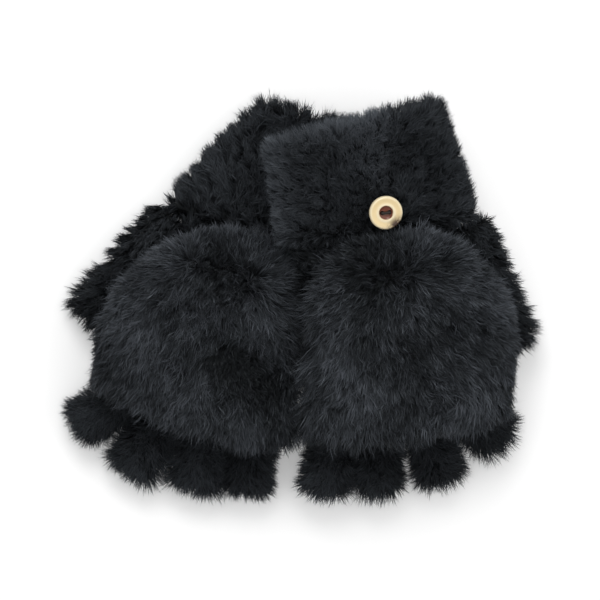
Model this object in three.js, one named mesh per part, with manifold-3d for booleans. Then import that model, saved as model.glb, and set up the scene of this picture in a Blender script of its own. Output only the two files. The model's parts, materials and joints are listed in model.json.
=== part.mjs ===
// A pair of convertible flip-top mittens in long-pile fabric: fingerless gloves, each with a hood that
// is sewn along the knuckles, folded back over the hand and held to a button on the cuff by an elastic
// loop. The left mitten lies palm down, and the right one lies across its wrist.
//
// Millimetres, +Z up. Each mitten is made in its own frame: +x to the thumb side, +y to the fingertips,
// +z out of the back of the hand, with the middle of the knuckle seam above the origin and the palm at
// z = 0. The right mitten is the left one mirrored in x.

import * as THREE from 'three';
import { mergeVertices } from 'three/addons/utils/BufferGeometryUtils.js';
import Module from 'manifold-3d';

const wasm = await Module();
wasm.setup();

// ---- Driving dimensions ----

const GAP = 0.3; // clearance between pieces that touch
const SIDES = 24; // facets round the hand, the cuff and the hood
const SLEEVE_SIDES = 12; // facets round a finger or thumb sleeve
const FABRIC = 2.5; // backing cloth with its dense underfur
const LINING = 1.2; // fleece
const LINING_EASE = 0.5; // between a panel and the lining behind it

const HAND_LENGTH = 92; // knuckle seam to cuff
const WRIST_WIDTH = 82;
const PALM_WIDTH = 87;
const KNUCKLE_WIDTH = 85;
const WRIST_HEIGHT = 18.5;
const PALM_HEIGHT = 22;
const HAND_POWER = 3.6; // how square a hand section is: 2 is an ellipse
const NOSE = 5; // how far the hand reaches past the knuckle seam

const CUFF_LENGTH = 54;
const CUFF_WIDTH = 96; // at its edge over the hand
const CUFF_FAR_WIDTH = 84;
const CUFF_HEIGHT = 21.5;
const CUFF_WALL = 5; // turned back on itself, so two layers

const FINGER_WIDTH = 18;
const FINGER_HEIGHT = 11.6;
const FINGER_PITCH = 21.5; // between finger roots, along the knuckles
const FINGER_DROOP = 2.4; // how far a fingertip sinks below its root
const SLEEVE_WALL = 1.8; // fabric of the finger and thumb sleeves

const THUMB_LENGTH = 64;
const THUMB_WIDTH = 21.5;
const THUMB_FLARE = 0.3; // how much wider the thumb is at its root
const THUMB_HEIGHT = 14;
const THUMB_DROOP = 1.6;
const THUMB_ROOT = 6; // how far in front of the cuff the thumb starts

const SEAM_BEAD = 1.2; // radius of the corded edge that the hood turns on
const SEAM_LENGTH = 62;
const SEAM_TAPE = 6; // width of the tape behind the bead

const HOOD_LENGTH = 91; // knuckle seam to tip
const HOOD_WIDTH = 102;
const HOOD_HEIGHT = 19;
const HOOD_TIP_HEIGHT = 10;
const HOOD_SINK = 4.5; // how far the folded hood's tip lies below its seam
const HOOD_MOUTH = 5.5; // how far the palm panel reaches past the seam
const HOOD_MOUTH_CURVE = 5; // how far its edge draws back at the sides
const HOOD_SECTION_POWER = 2.5;
const HOOD_BACK_EDGE = 3; // the back panel starts this far behind the seam
const HOOD_BACK_DEPTH = 5; // height of the side seam above the back panel
const HOOD_LINING_INSET = 5; // from the hood's edge to its lining's

const BUTTON_RADIUS = 8.3;
const BUTTON_THICKNESS = 3.2;
const BUTTON_RIM = 0.5; // how far the rim stands above the face
const BUTTON_WELL_RADIUS = 3.6;
const BUTTON_WELL_DEPTH = 1.3;
const BUTTON_HOLE_RADIUS = 1.15;
const BUTTON_HOLE_SPACING = 3.6;
const THREAD_RADIUS = 0.8;
const SHANK_RADIUS = 1.5;
const SHANK_LENGTH = 4.2;
const LOOP_RADIUS = 1.1; // of the elastic cord
const LOOP_SPREAD = 7; // between its two ends on the hood

const PAIR_SPACING = 102.5; // between the two knuckle seams
const RIGHT_SETBACK = 1.5; // of the right knuckle seam behind the left one
const RIGHT_PITCH = 11; // degrees that the right mitten falls to its fingertips
const RIGHT_ROLL = 6; // degrees that it falls to its thumb
const LAID_GAP = 0.3; // between the two mittens where they touch

/**
 * How each mitten lies: turns in degrees, lengths in millimetres. cuffPull is how far its cuff is
 * pulled out longer than it was cut, hoodPower how square the hood's outline is, and hoodLean and
 * hoodTip how far the hood's middle and its tip lie to the thumb side. button is how far the button
 * lies to the thumb side, and behind the cuff's edge, or the hood's tip if that reaches further.
 */
const LEFT = {
  name: 'left', side: 1, yaw: -17, wristBend: -27, cuffPull: 7.5, cuffSlant: 0, fingerLean: 5.5,
  reachSlant: 0.06, thumbSplay: 25, hoodPower: 2.3, hoodLean: 7, hoodTip: -6, button: [-23, 10.7],
};
const RIGHT = {
  name: 'right', side: -1, yaw: 6, wristBend: -10, cuffPull: -2, cuffSlant: -0.1, fingerLean: 0,
  reachSlant: -0.03, thumbSplay: 17.5, hoodPower: 2.8, hoodLean: 6, hoodTip: 0, button: [0, 9.9],
};

/** Finger sleeves: how many pitches from the middle, where the tip leans to, and how far it reaches. */
const FINGERS = [
  { name: 'index', pitches: 1.5, spread: 15.5, reach: 22.5 },
  { name: 'middle', pitches: 0.5, spread: 6.5, reach: 38.5 },
  { name: 'ring', pitches: -0.5, spread: -5, reach: 39 },
  { name: 'little', pitches: -1.5, spread: -10.5, reach: 35 },
];

const COLOURS = {
  pile: { color: 0x1c1e21, roughness: 0.95, metalness: 0 },
  hoodPile: { color: 0x222427, roughness: 0.9, metalness: 0 },
  fleece: { color: 0x141518, roughness: 1, metalness: 0 },
  elastic: { color: 0x101113, roughness: 0.8, metalness: 0 },
  horn: { color: 0xe6d2a2, roughness: 0.35, metalness: 0 },
  thread: { color: 0x3a2416, roughness: 0.8, metalness: 0 },
};

// ---- Worked out from them ----

const HINGE_HEIGHT = PALM_HEIGHT + GAP + SEAM_BEAD;
const HOOD_FLOOR = SEAM_BEAD + GAP; // lowest face of the folded hood above its hinge
const HAND_END_TOP = HINGE_HEIGHT - HOOD_FLOOR - FABRIC - 2 * GAP; // clears the closed hood's back panel
const HAND_END_BOTTOM = HINGE_HEIGHT - HOOD_FLOOR - HOOD_HEIGHT + FABRIC + GAP; // and its palm panel
const FINGER_ROOT_HEIGHT = (HAND_END_TOP + HAND_END_BOTTOM) / 2;
const SIDE_SEAM_HEIGHT = WRIST_HEIGHT / 2 + 1;
const CUFF_EDGE = -(HAND_LENGTH + GAP);
const BODY_LENGTH = HAND_LENGTH + CUFF_LENGTH;
const BUTTON_LINE = -Math.max(-CUFF_EDGE, HOOD_LENGTH);
const CUFF_ROOM = HINGE_HEIGHT + HOOD_FLOOR - CUFF_HEIGHT - GAP; // under a hood that lies on the cuff
const HOOD_DROP = HOOD_LENGTH < HAND_LENGTH ? HOOD_SINK : Math.min(HOOD_SINK, CUFF_ROOM);

// ---- Solids ----

const { clamp, degToRad, lerp, smoothstep } = THREE.MathUtils;

/**
 * Points of a rounded section across y, from its middle x, half width, bottom and top. No point lies
 * on its lowest line, so that it rests on a flat facet.
 */
function sectionRing({ x, half, bottom, top, power }, count, yOf) {
  const ring = [];
  for (let k = 0; k < count; k++) {
    const turn = (2 * Math.PI * (k + 0.5)) / count;
    const across = Math.sign(Math.cos(turn)) * Math.abs(Math.cos(turn)) ** (2 / power);
    const up = Math.sign(Math.sin(turn)) * Math.abs(Math.sin(turn)) ** (2 / power);
    const z = (bottom + top) / 2 + (up * (top - bottom)) / 2;
    ring.push(new THREE.Vector3(x + across * half, yOf(across, up), z));
  }
  return ring;
}

/** The same section drawn in on every side. */
function inset(section, by) {
  return {
    ...section, half: section.half - by, bottom: section.bottom + by, top: section.top - by,
  };
}

/** A closed skin over rings of equally many points: its ends are capped, or meet if it is a tube wall. */
function skin(rings, wall = false) {
  const count = rings[0].length;
  const points = rings.flat();
  const index = [];
  const bands = wall ? rings.length : rings.length - 1;
  for (let r = 0; r < bands; r++) {
    const next = (r + 1) % rings.length;
    for (let k = 0; k < count; k++) {
      const [a, b] = [r * count + k, r * count + ((k + 1) % count)];
      const [c, d] = [next * count + k, next * count + ((k + 1) % count)];
      index.push(a, b, d, a, d, c);
    }
  }
  if (!wall) {
    for (const [ring, start] of [[rings[0], 0], [rings.at(-1), (rings.length - 1) * count]]) {
      const middle = points.length;
      points.push(ring.reduce((sum, p) => sum.add(p), new THREE.Vector3()).divideScalar(count));
      for (let k = 0; k < count; k++) {
        const [a, b] = [start + k, start + ((k + 1) % count)];
        index.push(...(start ? [a, b, middle] : [b, a, middle]));
      }
    }
  }
  const geometry = new THREE.BufferGeometry().setFromPoints(points);
  geometry.setIndex(index);
  return geometry;
}

/** Any closed geometry as a solid, with its faces turned outwards. */
function solid(geometry) {
  const bare = geometry.clone();
  bare.deleteAttribute('normal');
  bare.deleteAttribute('uv');
  const welded = mergeVertices(bare, 1e-4);
  const build = (triVerts) => new wasm.Manifold(new wasm.Mesh({
    numProp: 3,
    vertProperties: new Float32Array(welded.attributes.position.array),
    triVerts: new Uint32Array(triVerts),
  }));
  const made = build(welded.index.array);
  return made.volume() > 0 ? made : build(welded.index.array.toReversed());
}

function geometryOf(made) {
  const { vertProperties, triVerts } = made.getMesh();
  const geometry = new THREE.BufferGeometry();
  geometry.setAttribute('position', new THREE.BufferAttribute(vertProperties, 3));
  geometry.setIndex(new THREE.BufferAttribute(triVerts, 1));
  return geometry;
}

/** A block far larger than a mitten, above or below a height. */
function halfSpace(height, above) {
  const size = 4 * BODY_LENGTH;
  const block = new THREE.BoxGeometry(size, size, size);
  block.translate(0, 0, height + (above ? size / 2 : -size / 2));
  return solid(block);
}

/** A shell parted along a level seam: what lies above it and what lies below, a gap apart. */
function partAt(shell, height) {
  return {
    above: shell.intersect(halfSpace(height + GAP / 2, true)),
    below: shell.intersect(halfSpace(height - GAP / 2, false)),
  };
}

/** Evenly spaced values from one end to the other, both included. */
function steps(from, to, count) {
  return Array.from({ length: count + 1 }, (_, k) => lerp(from, to, k / count));
}

// ---- Hand and cuff ----

/** How far the hand's middle line lies to the thumb side at y. */
function handMiddle(lay, y) {
  return lay.wristBend * (Math.max(-y, 0) / BODY_LENGTH) ** 3;
}

function handSection(lay, y) {
  const palm = smoothstep(y, -HAND_LENGTH, -0.45 * HAND_LENGTH);
  const knuckle = smoothstep(y, -0.4 * HAND_LENGTH, NOSE);
  const width = lerp(lerp(WRIST_WIDTH, PALM_WIDTH, palm), KNUCKLE_WIDTH, knuckle);
  const back = lerp(WRIST_HEIGHT, PALM_HEIGHT, smoothstep(y, -HAND_LENGTH, -0.3 * HAND_LENGTH));
  return {
    x: handMiddle(lay, y),
    half: width / 2,
    bottom: HAND_END_BOTTOM * smoothstep(y, -24, -HOOD_MOUTH),
    top: lerp(back, HAND_END_TOP, smoothstep(y, -NOSE, HOOD_BACK_EDGE)),
    power: HAND_POWER,
  };
}

/** The outside of the hand, drawn in by a distance, as rings from its nose to its wrist. */
function handRings(lay, by) {
  const stations = [
    ...steps(NOSE - by, -NOSE, 3), ...steps(-0.2 * HAND_LENGTH, -0.75 * HAND_LENGTH, 2), -HAND_LENGTH,
  ];
  return stations.map((y) => sectionRing(inset(handSection(lay, y), by), SIDES, () => y));
}

/** A layer of the hand, open at the wrist, between two depths below its outside. */
function handLayer(lay, outer, inner) {
  return solid(skin([...handRings(lay, outer), ...handRings(lay, inner).reverse()]));
}

function cuffSection(lay, y) {
  const width = lerp(CUFF_WIDTH, CUFF_FAR_WIDTH, clamp((CUFF_EDGE - y) / CUFF_LENGTH, 0, 1));
  return { x: handMiddle(lay, y), half: width / 2, bottom: 0, top: CUFF_HEIGHT, power: HAND_POWER };
}

/** The cuff: a band turned back on itself, so its two ends are rolled. */
function cuff(lay) {
  const far = CUFF_EDGE - CUFF_LENGTH - lay.cuffPull;
  const roll = CUFF_WALL / 2;
  const outline = [];
  for (const y of steps(CUFF_EDGE - 1, far + roll, 3)) outline.push([y, 0]);
  for (const turn of steps(0, Math.PI, 4).slice(1, -1)) {
    outline.push([far + roll - roll * Math.sin(turn), roll - roll * Math.cos(turn)]);
  }
  for (const y of steps(far + roll, CUFF_EDGE - 1, 3)) outline.push([y, CUFF_WALL]);
  outline.push([CUFF_EDGE, CUFF_WALL - 1], [CUFF_EDGE, 1]);
  const rings = outline.map(([y, depth]) => {
    const slant = lay.cuffSlant * smoothstep(-y, -CUFF_EDGE, -far) * (CUFF_WIDTH / 2);
    return sectionRing(inset(cuffSection(lay, y), depth), SIDES, (across) => y + slant * across);
  });
  return solid(skin(rings, true));
}

// ---- Finger and thumb sleeves ----

/** Rings across a sleeve at each distance from its root, drawn in by that station's depth. */
function sleeveRings({ root, tip, width, height, flare }, stations) {
  const axis = tip.clone().sub(root);
  const length = axis.length();
  const turn = Math.atan2(-axis.x, axis.y);
  const place = new THREE.Matrix4().makeTranslation(root).multiply(
    new THREE.Matrix4().makeRotationFromEuler(new THREE.Euler(Math.asin(axis.z / length), 0, turn, 'ZXY')),
  );
  return stations(length).map(([y, depth]) => {
    const grow = 1 + flare * (1 - smoothstep(y, 0, 0.6 * length));
    const section = { x: 0, half: (grow * width) / 2, bottom: -height / 2, top: height / 2, power: 2.4 };
    const ring = sectionRing(inset(section, depth), SLEEVE_SIDES, () => y);
    return ring.map((point) => point.applyMatrix4(place));
  });
}

/** A finger or thumb sleeve: a tube with a soft lip at its tip. */
function sleeve(run) {
  return solid(skin(sleeveRings(run, (length) => {
    const along = steps(0, length - SLEEVE_WALL / 2, 3);
    return [
      ...along.map((y) => [y, 0]), [length, SLEEVE_WALL / 2],
      ...along.map((y) => [y, SLEEVE_WALL]).reverse(),
    ];
  }), true));
}

/** The space that a sleeve's outside takes, drawn in by a depth and run on past both of its ends. */
function sleeveSpace(run, depth) {
  return solid(skin(sleeveRings(run, (length) => (
    [-FABRIC - 4 * LINING, 0, length / 2, 2 * length].map((y) => [y, depth])
  ))));
}

function fingerRun(lay, finger) {
  const x = finger.pitches * FINGER_PITCH;
  const tipX = x + finger.spread + lay.fingerLean;
  return {
    root: new THREE.Vector3(x, NOSE - FABRIC + GAP, FINGER_ROOT_HEIGHT),
    tip: new THREE.Vector3(
      tipX, finger.reach + lay.reachSlant * tipX, FINGER_ROOT_HEIGHT - FINGER_DROOP,
    ),
    width: FINGER_WIDTH,
    height: FINGER_HEIGHT,
    flare: 0,
  };
}

function thumbRun(lay) {
  const y = -HAND_LENGTH + THUMB_ROOT;
  const { x, half } = handSection(lay, y);
  const splay = degToRad(lay.thumbSplay);
  const root = new THREE.Vector3(x + half, y, SIDE_SEAM_HEIGHT);
  const reach = new THREE.Vector3(Math.sin(splay), Math.cos(splay), 0).multiplyScalar(THUMB_LENGTH);
  reach.z = -THUMB_DROOP;
  return {
    root, tip: root.clone().add(reach), width: THUMB_WIDTH, height: THUMB_HEIGHT,
    flare: THUMB_FLARE,
  };
}

// ---- Hood, in its own frame: the hinge axis is its x axis ----

/** The hood's section, drawn in by a depth, where it has run a share of its plan curve to the tip. */
function hoodSection(lay, share, depth) {
  const run = Math.sin((share * Math.PI) / 2) ** (2 / lay.hoodPower);
  const draw = Math.cos((share * Math.PI) / 2) ** (2 / lay.hoodPower);
  const full = lerp(HOOD_HEIGHT, HOOD_TIP_HEIGHT, run ** 2.5);
  const height = (full - 2 * depth) * clamp(4 * draw, 0.35, 1);
  const middle = HOOD_FLOOR + full / 2 - HOOD_DROP * run ** 2;
  return {
    y: -(HOOD_LENGTH - depth) * run,
    x: lay.hoodLean * Math.sin(Math.PI * run) + lay.hoodTip * run ** 2,
    half: draw * (HOOD_WIDTH / 2 - depth),
    bottom: middle - height / 2,
    top: middle + height / 2,
    power: HOOD_SECTION_POWER,
  };
}

/** Where the hood's mouth edge lies: level over the seam on the back, reaching past it on the palm. */
function mouthEdge(across, up) {
  const palm = HOOD_MOUTH - HOOD_MOUTH_CURVE * across ** 2;
  return lerp(-HOOD_BACK_EDGE, palm, smoothstep(up, -0.6, 0.5));
}

/** The outside of the hood, drawn in by a depth, as rings from its mouth to its tip. */
function hoodRings(lay, depth) {
  return steps(0, 0.965, 7).map((share) => {
    const section = hoodSection(lay, share, depth);
    return sectionRing(section, SIDES, (across, up) => {
      const edge = mouthEdge(across, up);
      return share ? Math.min(section.y, edge - 1) : edge;
    });
  });
}

/** A layer of the hood, open at its mouth, between two depths below its outside. */
function hoodLayer(lay, outer, inner) {
  return solid(skin([...hoodRings(lay, outer).reverse(), ...hoodRings(lay, inner)]));
}

/** The hood's fleece, which ends short of the hood's own edge all round the mouth. */
function hoodLining(lay) {
  const reach = solid(skin(hoodRings(lay, 0))).translate([0, -HOOD_LINING_INSET, 0]);
  return hoodLayer(lay, FABRIC + LINING_EASE, FABRIC + LINING_EASE + LINING).intersect(reach);
}

/** The knuckle seam: a corded edge along the hinge axis, with the tape that is sewn to the hand. */
function knuckleSeam() {
  const profile = new THREE.Shape();
  profile.moveTo(-SEAM_TAPE, -SEAM_BEAD);
  profile.lineTo(0, -SEAM_BEAD);
  profile.absarc(0, 0, SEAM_BEAD, -Math.PI / 2, Math.PI / 2, false);
  profile.lineTo(-SEAM_TAPE, SEAM_BEAD);
  const bar = new THREE.ExtrudeGeometry(profile, {
    depth: SEAM_LENGTH, steps: 1, curveSegments: 5, bevelEnabled: false,
  });
  bar.translate(0, 0, -SEAM_LENGTH / 2);
  bar.applyMatrix4(new THREE.Matrix4().makeBasis(
    new THREE.Vector3(0, 1, 0), new THREE.Vector3(0, 0, 1), new THREE.Vector3(1, 0, 0),
  ));
  return solid(bar);
}

// ---- Button, its thread and the elastic loop ----

function revolve(profile, segments) {
  return solid(new THREE.LatheGeometry(profile.map(([x, y]) => new THREE.Vector2(x, y)), segments)
    .rotateX(Math.PI / 2));
}

/** A round bar along z between two heights. */
function bar(radius, low, high, x = 0) {
  const made = new THREE.CylinderGeometry(radius, radius, high - low, 10);
  return solid(made.rotateX(Math.PI / 2).translate(x, 0, (low + high) / 2));
}

/** Two-hole button: domed rim, dished face and a round well for the thread. Its underside is z = 0. */
function button() {
  const face = BUTTON_THICKNESS - BUTTON_RIM;
  const blank = revolve([
    [0, 0], [BUTTON_RADIUS - 1.6, 0], [BUTTON_RADIUS, 1.3], [BUTTON_RADIUS - 0.3, face],
    [BUTTON_RADIUS - 1.2, BUTTON_THICKNESS], [BUTTON_RADIUS - 2.2, BUTTON_THICKNESS],
    [BUTTON_RADIUS - 3.2, face], [BUTTON_WELL_RADIUS, face],
    [BUTTON_WELL_RADIUS - 0.4, face - BUTTON_WELL_DEPTH], [0, face - BUTTON_WELL_DEPTH],
  ], 24);
  return [-1, 1].reduce((left, way) => left.subtract(bar(
    BUTTON_HOLE_RADIUS, -1, BUTTON_THICKNESS + 1, (way * BUTTON_HOLE_SPACING) / 2,
  )), blank);
}

/** The thread: a wound shank under the button, up through both holes and across the well. */
function buttonThread() {
  const wellFloor = BUTTON_THICKNESS - BUTTON_RIM - BUTTON_WELL_DEPTH;
  const across = wellFloor + GAP + THREAD_RADIUS;
  const bridge = new THREE.CapsuleGeometry(THREAD_RADIUS, BUTTON_HOLE_SPACING, 2, 8)
    .rotateZ(Math.PI / 2).translate(0, 0, across);
  const half = BUTTON_HOLE_SPACING / 2;
  const foot = new THREE.CapsuleGeometry(THREAD_RADIUS, BUTTON_HOLE_SPACING, 2, 8)
    .rotateZ(Math.PI / 2).translate(0, 0, -GAP - THREAD_RADIUS);
  return [
    bar(THREAD_RADIUS, -GAP - THREAD_RADIUS, across, half),
    bar(THREAD_RADIUS, -GAP - THREAD_RADIUS, across, -half),
    solid(bridge), solid(foot),
  ].reduce((sum, part) => sum.add(part), bar(SHANK_RADIUS, -SHANK_LENGTH, -GAP - THREAD_RADIUS / 2));
}

/** Elastic cord from one end on the hood's tip, round the shank, to the other end. */
function elasticLoop(shank) {
  const apart = THREAD_RADIUS + GAP + LOOP_RADIUS; // from the thread's foot to the cord
  const drop = SHANK_LENGTH - THREAD_RADIUS - 2 * GAP - LOOP_RADIUS;
  const pastFoot = BUTTON_HOLE_SPACING / 2 + Math.sqrt(Math.max(0, apart ** 2 - drop ** 2)) - GAP;
  const ring = Math.max(SHANK_RADIUS + GAP + LOOP_RADIUS, pastFoot);
  const reach = Math.hypot(shank.x, shank.y);
  const away = shank.clone().setZ(0).normalize();
  const aside = new THREE.Vector3(-away.y, away.x, 0);
  const at = (ahead, side, drop) => new THREE.Vector3(0, 0, drop * shank.z)
    .addScaledVector(away, ahead).addScaledVector(aside, side);
  const ends = [1, -1].map((way) => [
    new THREE.Vector3((way * LOOP_SPREAD) / 2, -2 * GAP, 0),
    new THREE.Vector3((way * LOOP_SPREAD) / 2, -2 * GAP - LOOP_RADIUS, 0),
    at(reach - 2 * ring, (way * (LOOP_SPREAD + 2 * ring)) / 4, 0.9),
    at(reach, way * (ring + GAP), 1),
  ]);
  const route = [
    ...ends[0],
    ...steps(0.2, 0.8, 3).map((share) => at(
      reach + (ring + GAP) * Math.sin(share * Math.PI), (ring + GAP) * Math.cos(share * Math.PI), 1,
    )),
    ...ends[1].reverse(),
  ];
  const section = new THREE.Shape().absarc(0, 0, LOOP_RADIUS, 0, 2 * Math.PI);
  return solid(new THREE.ExtrudeGeometry(section, {
    steps: 20, curveSegments: 3, bevelEnabled: false, extrudePath: new THREE.CatmullRomCurve3(route),
  }));
}

// ---- One mitten ----

/** A named mesh of a solid, mirrored for the right mitten. */
function piece(lay, name, made, finish) {
  const geometry = geometryOf(made);
  if (lay.side < 0) {
    geometry.scale(-1, 1, 1);
    geometry.setIndex([...geometry.index.array].reverse());
  }
  const flat = geometry.toNonIndexed();
  flat.computeVertexNormals();
  const mesh = new THREE.Mesh(flat, new THREE.MeshStandardMaterial(finish));
  mesh.name = `${lay.name}_${name}`;
  return mesh;
}

function mitten(lay) {
  const group = new THREE.Group();
  const add = (name, made, finish, frame = group) => frame.add(piece(lay, name, made, finish));

  const fingers = FINGERS.map((finger) => ({ ...finger, run: fingerRun(lay, finger) }));
  const thumb = thumbRun(lay);
  const handClear = solid(skin(handRings(lay, -GAP)));
  const thumbBore = sleeveSpace(thumb, SLEEVE_WALL);
  const sockets = fingers.map(({ run }) => sleeveSpace(run, -GAP));
  const opened = (layer) => sockets.reduce((left, socket) => left.subtract(socket), layer)
    .subtract(thumbBore);

  const shell = partAt(opened(handLayer(lay, 0, FABRIC)), SIDE_SEAM_HEIGHT);
  add('hand_back', shell.above, COLOURS.pile);
  add('hand_palm', shell.below, COLOURS.pile);
  const lined = FABRIC + LINING_EASE;
  add('hand_lining', opened(handLayer(lay, lined, lined + LINING)), COLOURS.fleece);
  add('cuff', cuff(lay), COLOURS.pile);
  add('thumb', sleeve(thumb).subtract(handClear), COLOURS.pile);
  for (const { name, run } of fingers) add(`${name}_finger`, sleeve(run), COLOURS.pile);

  const hinge = new THREE.Group();
  hinge.name = `${lay.name}_hood_hinge`;
  hinge.position.z = HINGE_HEIGHT;
  group.add(hinge);
  add('knuckle_seam', knuckleSeam(), COLOURS.elastic, hinge);
  const hood = partAt(hoodLayer(lay, 0, FABRIC), HOOD_FLOOR + HOOD_BACK_DEPTH);
  add('hood_back', hood.below, COLOURS.hoodPile, hinge);
  add('hood_palm', hood.above, COLOURS.hoodPile, hinge);
  add('hood_lining', hoodLining(lay), COLOURS.fleece, hinge);

  const [buttonX, behind] = lay.button;
  const buttonY = BUTTON_LINE - behind;
  const mount = new THREE.Group();
  mount.position.set(buttonX * lay.side, buttonY, CUFF_HEIGHT + GAP + SHANK_LENGTH);
  group.add(mount);
  add('button', button(), COLOURS.horn, mount);
  add('button_thread', buttonThread(), COLOURS.thread, mount);

  const end = hoodSection(lay, 1, 0);
  const tip = new THREE.Vector3(end.x, -HOOD_LENGTH, end.bottom + LOOP_RADIUS);
  const shank = new THREE.Vector3(buttonX, buttonY, CUFF_HEIGHT + 2 * GAP + LOOP_RADIUS - HINGE_HEIGHT);
  const loop = new THREE.Group();
  loop.name = `${lay.name}_loop_hinge`;
  loop.position.copy(tip).setX(tip.x * lay.side);
  hinge.add(loop);
  add('loop', elasticLoop(shank.sub(tip)), COLOURS.elastic, loop);
  return group;
}

// ---- The pair ----

const left = mitten(LEFT);
const right = mitten(RIGHT);
left.position.set(-PAIR_SPACING / 2, 0, 0);
left.rotation.set(0, 0, Math.PI + degToRad(LEFT.yaw), 'ZXY');
right.position.set(PAIR_SPACING / 2, RIGHT_SETBACK, 0);
right.rotation.set(
  -degToRad(RIGHT_PITCH), -degToRad(RIGHT_ROLL), Math.PI + degToRad(RIGHT.yaw), 'ZXY',
);

/** Every mesh of a group as a solid in the pair's frame. */
function solidsOf(group) {
  group.updateMatrixWorld(true);
  const parts = [];
  group.traverse((mesh) => {
    if (mesh.isMesh) parts.push(solid(mesh.geometry.clone().applyMatrix4(mesh.matrixWorld)));
  });
  return parts;
}

/** Raises the upper mitten until it just clears the lower one and the surface they lie on. */
function layOn(upper, lower) {
  const [above, below] = [solidsOf(upper), solidsOf(lower)];
  const clears = (lift) => above.every((a) => {
    const raised = a.translate([0, 0, lift]);
    return raised.boundingBox().min[2] > 0 && below.every((b) => raised.intersect(b).isEmpty());
  });
  let [low, high] = [0, 4 * PALM_HEIGHT];
  while (high - low > GAP / 10) {
    const middle = (low + high) / 2;
    if (clears(middle)) high = middle;
    else low = middle;
  }
  upper.position.z = high + LAID_GAP;
}
layOn(right, left);

const pair = new THREE.Group();
pair.add(left, right);
pair.updateMatrixWorld(true);
const box = new THREE.Box3().setFromObject(pair, true);
pair.position.set(-(box.min.x + box.max.x) / 2, -(box.min.y + box.max.y) / 2, -box.min.z);

export default pair;
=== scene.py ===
"""A pair of convertible flip-top mittens in black long-pile fabric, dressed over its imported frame.

Every pile-covered panel is the panel's own cloth, remade as an even mesh, with a coat of strands that
Geometry Nodes lay over its outside. The hoods carry long combed pile under longer guard hairs, and the
cuffs, hands, thumbs and finger sleeves shorter kinds.
"""

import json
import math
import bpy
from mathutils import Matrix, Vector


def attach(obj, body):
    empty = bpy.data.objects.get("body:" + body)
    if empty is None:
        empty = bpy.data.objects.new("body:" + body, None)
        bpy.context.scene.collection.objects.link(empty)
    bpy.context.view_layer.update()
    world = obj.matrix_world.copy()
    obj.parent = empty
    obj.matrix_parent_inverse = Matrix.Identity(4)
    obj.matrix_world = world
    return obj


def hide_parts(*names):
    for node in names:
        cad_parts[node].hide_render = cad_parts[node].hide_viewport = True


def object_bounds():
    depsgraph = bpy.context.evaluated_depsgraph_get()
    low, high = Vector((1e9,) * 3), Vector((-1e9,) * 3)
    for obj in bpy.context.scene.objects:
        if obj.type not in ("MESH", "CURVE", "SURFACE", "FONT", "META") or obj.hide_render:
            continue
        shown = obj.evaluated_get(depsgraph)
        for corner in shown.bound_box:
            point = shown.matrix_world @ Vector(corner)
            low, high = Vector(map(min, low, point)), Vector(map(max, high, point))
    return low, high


bl_info = {
    "name": "Flip-Top Mittens",
    "version": (1, 0, 0),
    "blender": (4, 5, 0),
    "location": "View3D > Sidebar > Mittens",
    "description": "Builds a pair of flip-top mittens with a modelled pile over their packed frame",
    "category": "Add Mesh",
}

import bmesh
import bpy
import numpy as np
from bpy.props import FloatProperty, FloatVectorProperty, IntProperty, PointerProperty
from mathutils import Vector
from mathutils.bvhtree import BVHTree

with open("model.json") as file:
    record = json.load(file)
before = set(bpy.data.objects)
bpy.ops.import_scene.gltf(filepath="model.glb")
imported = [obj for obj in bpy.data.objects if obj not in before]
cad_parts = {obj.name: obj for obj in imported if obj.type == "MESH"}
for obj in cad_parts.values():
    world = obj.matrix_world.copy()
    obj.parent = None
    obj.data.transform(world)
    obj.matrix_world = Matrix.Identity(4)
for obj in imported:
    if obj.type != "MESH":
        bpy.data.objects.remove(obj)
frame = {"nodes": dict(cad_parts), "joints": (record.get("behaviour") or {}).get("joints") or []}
CAD_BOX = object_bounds()

SIDES = ("left", "right")
FINGERS = ("index", "middle", "ring", "little")
WHITE = (1.0, 1.0, 1.0, 1.0)
LONGEST_STRAND = 0.0135
LOWEST_POINT = 0.0003  # of any strand, above the floor
UV_MAP = "OFBake"  # across: a strand's shade, its own tone with painted light and shade; up: from its root to its tip

# How each kind of piece is remade: the size of its cells, and the share of its faces that stays.
WEAVES = {
    "hand": (0.0013, 0.3), "cuff": (0.0016, 0.3), "thumb": (0.0009, 0.25), "finger": (0.0009, 0.25),
    "hood": (0.0013, 0.3), "lining": (0.0007, 0.2), "seam": (0.0004, 0.3), "loop": (0.00035, 0.5),
    "thread": (0.0003, 0.5),
}

# The first seed of each kind of panel, and what its guard hairs add to it.
SEEDS = {"hand": 100, "cuff": 200, "thumb": 300, "finger": 400, "hood": 500}
GUARD_SEED = 1000


# ---- Settings ----


class PileSettings(bpy.types.PropertyGroup):
    """One kind of pile."""

    length: FloatProperty(name="Length", description="Longest strand", default=0.006, unit="LENGTH")
    width: FloatProperty(
        name="Width", description="Width of a strand at its root", default=0.0005, unit="LENGTH"
    )
    density: FloatProperty(
        name="Density", description="Strands on a square millimetre", default=3.0, min=0.0
    )
    clump_spacing: FloatProperty(
        name="Tuft Spacing", description="Between the tufts that strands gather in", default=0.003,
        unit="LENGTH",
    )
    clump: FloatProperty(
        name="Tuft Share", description="How far strands lean to their tuft's tip", default=0.5,
        min=0.0, max=1.0,
    )
    rise: FloatProperty(
        name="Rise", description="How far strands stand up, against one along the cloth",
        default=0.9, min=0.0,
    )
    wave: FloatProperty(
        name="Wave", description="How far a strand's tip wanders", default=0.0012, unit="LENGTH"
    )
    uneven: FloatProperty(
        name="Uneven Length", description="How much the length changes from patch to patch",
        default=0.6, min=0.0,
    )
    whorls: FloatProperty(
        name="Whorls", description="How far the lie of the pile turns from patch to patch",
        default=1.2, min=0.0,
    )
    segments: IntProperty(name="Segments", description="Straight lengths in a strand", default=2, min=1)


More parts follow.
